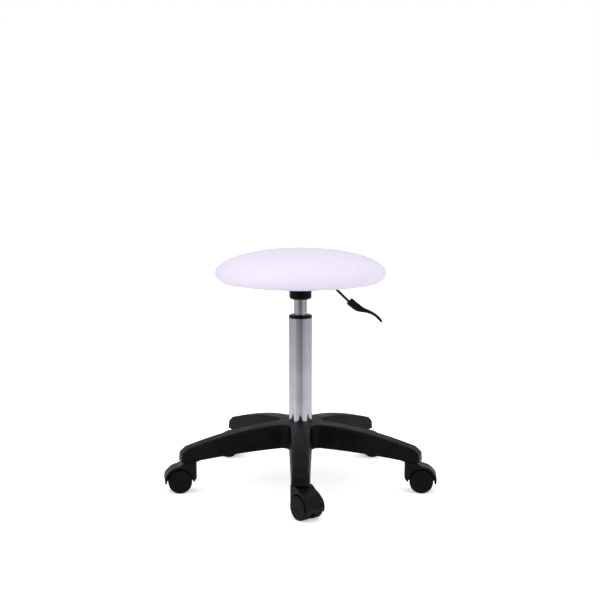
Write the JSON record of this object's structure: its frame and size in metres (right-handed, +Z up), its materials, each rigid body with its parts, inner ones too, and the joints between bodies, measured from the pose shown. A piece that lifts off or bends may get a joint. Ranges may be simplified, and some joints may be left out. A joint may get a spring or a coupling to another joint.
{
  "type": "dentist stool",
  "caption": "Round padded stool on a gas-lift column with a release lever and a five-star base on hooded twin-wheel casters.",
  "frame": {"origin": "on the column's axis at floor level, under the middle of the base", "axes": "+Z up along the column; the front arm points along -Y and the release lever towards +X"},
  "size_m": [0.5762, 0.5303, 0.503],
  "materials": {
    "black_nylon": "fine moulded grain, glass-filled nylon",
    "caster_nylon": "fine moulded grain",
    "wheel_nylon": "smooth moulded nylon",
    "chrome": "bright chrome plate",
    "black_acetal": "smooth, glossy",
    "cap_plastic": "satin moulded",
    "handle_plastic": "glossy moulded",
    "plain_steel": "turned and pressed",
    "polished_steel": "ground and polished",
    "zinc_steel": "zinc plated",
    "black_steel": "black powder coat",
    "rubber": "plain",
    "plywood": "birch plywood",
    "foam": "open-cell cushion foam",
    "vinyl": "pale lavender upholstery vinyl, fine grain"
  },
  "bodies": {
    "base": {"star_base": "black_nylon", "outer_tube": "chrome", "tube_end_plate": "plain_steel", "guide_bush": "black_acetal", "lower_race": "plain_steel", "stem_grip_rings": "plain_steel", "caster_stem_front": "zinc_steel", "caster_stem_right": "zinc_steel", "caster_stem_back_right": "zinc_steel", "caster_stem_back_left": "zinc_steel", "caster_stem_left": "zinc_steel"},
    "piston": {"piston_rod": "polished_steel", "piston_head": "plain_steel", "upper_race": "plain_steel", "bearing_balls": "polished_steel", "bump_stop": "rubber", "retaining_clip": "plain_steel"},
    "seat": {"gas_cylinder": "chrome", "rod_guide": "black_acetal", "rod_seal": "rubber", "valve_body": "plain_steel", "taper_socket": "black_steel", "socket_cover": "cap_plastic", "seat_plate": "black_steel", "lever_bracket": "black_steel", "pivot_pin": "plain_steel", "pivot_clip": "plain_steel", "seat_board": "plywood", "foam_pad": "foam", "seat_cover": "vinyl", "tee_nuts": "zinc_steel", "plate_washers": "zinc_steel", "plate_bolts": "zinc_steel", "hem_staples": "zinc_steel"},
    "lever": {"lever_rod": "black_steel", "lever_handle": "handle_plastic"},
    "release_pin": {"release_pin": "polished_steel"},
    "caster_front": {"caster_housing_front": "caster_nylon", "caster_axle_front": "polished_steel"},
    "left_wheel_body_front": {"left_wheel_front": "wheel_nylon"},
    "right_wheel_body_front": {"right_wheel_front": "wheel_nylon"},
    "caster_right": {"caster_housing_right": "caster_nylon", "caster_axle_right": "polished_steel"},
    "left_wheel_body_right": {"left_wheel_right": "wheel_nylon"},
    "right_wheel_body_right": {"right_wheel_right": "wheel_nylon"},
    "caster_back_right": {"caster_housing_back_right": "caster_nylon", "caster_axle_back_right": "polished_steel"},
    "left_wheel_body_back_right": {"left_wheel_back_right": "wheel_nylon"},
    "right_wheel_body_back_right": {"right_wheel_back_right": "wheel_nylon"},
    "caster_back_left": {"caster_housing_back_left": "caster_nylon", "caster_axle_back_left": "polished_steel"},
    "left_wheel_body_back_left": {"left_wheel_back_left": "wheel_nylon"},
    "right_wheel_body_back_left": {"right_wheel_back_left": "wheel_nylon"},
    "caster_left": {"caster_housing_left": "caster_nylon", "caster_axle_left": "polished_steel"},
    "left_wheel_body_left": {"left_wheel_left": "wheel_nylon"},
    "right_wheel_body_left": {"right_wheel_left": "wheel_nylon"}
  },
  "joints": [
    {"name": "seat_swivel", "type": "hinge", "parent": "base", "child": "piston", "pos_m": [0, 0, 0], "axis": [0, 0, 1], "continuous": true},
    {"name": "seat_lift", "type": "slide", "parent": "piston", "child": "seat", "axis": [0, 0, 1], "range_m": [0, 0.13]},
    {"name": "lever_pull", "type": "hinge", "parent": "seat", "child": "lever", "pos_m": [0.045, 0, 0.429], "axis": [0, -1, 0], "range_deg": [0, 4]},
    {"name": "pin_press", "type": "slide", "parent": "seat", "child": "release_pin", "axis": [0, 0, -1], "range_m": [0, 0.0034], "stiffness_N_per_m": 300, "springref_m": -0.001},
    {"name": "caster_swivel_front", "type": "hinge", "parent": "base", "child": "caster_front", "pos_m": [0, -0.246, 0], "axis": [0, 0, 1], "continuous": true},
    {"name": "left_wheel_spin_front", "type": "hinge", "parent": "caster_front", "child": "left_wheel_body_front", "pos_m": [0.01176, -0.26218, 0.025], "axis": [0.809, 0.5878, 0], "continuous": true},
    {"name": "right_wheel_spin_front", "type": "hinge", "parent": "caster_front", "child": "right_wheel_body_front", "pos_m": [0.01176, -0.26218, 0.025], "axis": [0.809, 0.5878, 0], "continuous": true},
    {"name": "caster_swivel_right", "type": "hinge", "parent": "base", "child": "caster_right", "pos_m": [0.23396, -0.07602, 0], "axis": [0, 0, 1], "continuous": true},
    {"name": "left_wheel_spin_right", "type": "hinge", "parent": "caster_right", "child": "left_wheel_body_right", "pos_m": [0.25388, -0.07776, 0.025], "axis": [0.0872, 0.9962, 0], "continuous": true},
    {"name": "right_wheel_spin_right", "type": "hinge", "parent": "caster_right", "child": "right_wheel_body_right", "pos_m": [0.25388, -0.07776, 0.025], "axis": [0.0872, 0.9962, 0], "continuous": true},
    {"name": "caster_swivel_back_right", "type": "hinge", "parent": "base", "child": "caster_back_right", "pos_m": [0.1446, 0.19902, 0], "axis": [0, 0, 1], "continuous": true},
    {"name": "left_wheel_spin_back_right", "type": "hinge", "parent": "caster_back_right", "child": "left_wheel_body_back_right", "pos_m": [0.16416, 0.20318, 0.025], "axis": [-0.2079, 0.9781, 0], "continuous": true},
    {"name": "right_wheel_spin_back_right", "type": "hinge", "parent": "caster_back_right", "child": "right_wheel_body_back_right", "pos_m": [0.16416, 0.20318, 0.025], "axis": [-0.2079, 0.9781, 0], "continuous": true},
    {"name": "caster_swivel_back_left", "type": "hinge", "parent": "base", "child": "caster_back_left", "pos_m": [-0.1446, 0.19902, 0], "axis": [0, 0, 1], "continuous": true},
    {"name": "left_wheel_spin_back_left", "type": "hinge", "parent": "caster_back_left", "child": "left_wheel_body_back_left", "pos_m": [-0.16416, 0.20318, 0.025], "axis": [-0.2079, -0.9781, 0], "continuous": true},
    {"name": "right_wheel_spin_back_left", "type": "hinge", "parent": "caster_back_left", "child": "right_wheel_body_back_left", "pos_m": [-0.16416, 0.20318, 0.025], "axis": [-0.2079, -0.9781, 0], "continuous": true},
    {"name": "caster_swivel_left", "type": "hinge", "parent": "base", "child": "caster_left", "pos_m": [-0.23396, -0.07602, 0], "axis": [0, 0, 1], "continuous": true},
    {"name": "left_wheel_spin_left", "type": "hinge", "parent": "caster_left", "child": "left_wheel_body_left", "pos_m": [-0.25371, -0.07915, 0.025], "axis": [0.1564, -0.9877, 0], "continuous": true},
    {"name": "right_wheel_spin_left", "type": "hinge", "parent": "caster_left", "child": "right_wheel_body_left", "pos_m": [-0.25371, -0.07915, 0.025], "axis": [0.1564, -0.9877, 0], "continuous": true}
  ],
  "couplings": [
    {"joint": "pin_press", "follows": "lever_pull", "m_per_rad": 0.047}
  ]
}
